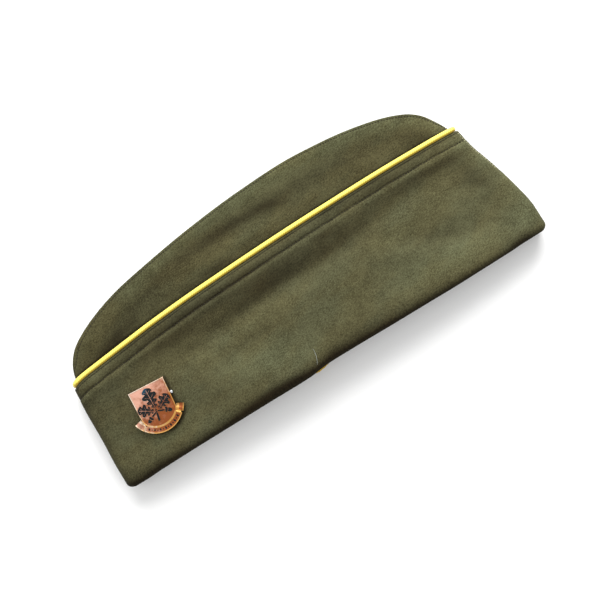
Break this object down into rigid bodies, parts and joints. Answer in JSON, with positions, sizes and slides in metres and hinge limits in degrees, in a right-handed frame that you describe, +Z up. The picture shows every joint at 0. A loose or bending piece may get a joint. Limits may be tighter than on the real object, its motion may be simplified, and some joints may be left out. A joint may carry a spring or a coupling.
{
  "type": "garrison cap",
  "caption": "Folded wool garrison cap lying flat on its side, with a turned-up curtain, corded edge, pleated crown and a shield badge.",
  "frame": {"origin": "on the surface that the cap lies on, under the middle of its outline", "axes": "+X from the cap's front to its back, +Y from the lower edge to the crown, +Z up, away from the surface; the cap's left side looks up"},
  "size_m": [0.283, 0.1138, 0.0261],
  "materials": {
    "wool_cloth": "olive drab wool, fine worsted weave with a soft nap",
    "piping_cord": "bright yellow cord with fine slanting ribs",
    "badge_metal": "die-struck copper, satin with darker hollows",
    "badge_enamel": "black enamel, glossy",
    "pin_metal": "nickel, bright",
    "edge_tape": "yellow woven tape, creased"
  },
  "bodies": {
    "root": {"crown_left": "wool_cloth", "crown_right": "wool_cloth", "crown_gusset": "wool_cloth", "curtain_left": "wool_cloth", "curtain_right": "wool_cloth", "piping_left": "piping_cord", "piping_right": "piping_cord", "badge_body": "badge_metal", "badge_charge": "badge_enamel", "badge_pin": "pin_metal", "edge_tab": "edge_tape"}
  },
  "joints": []
}
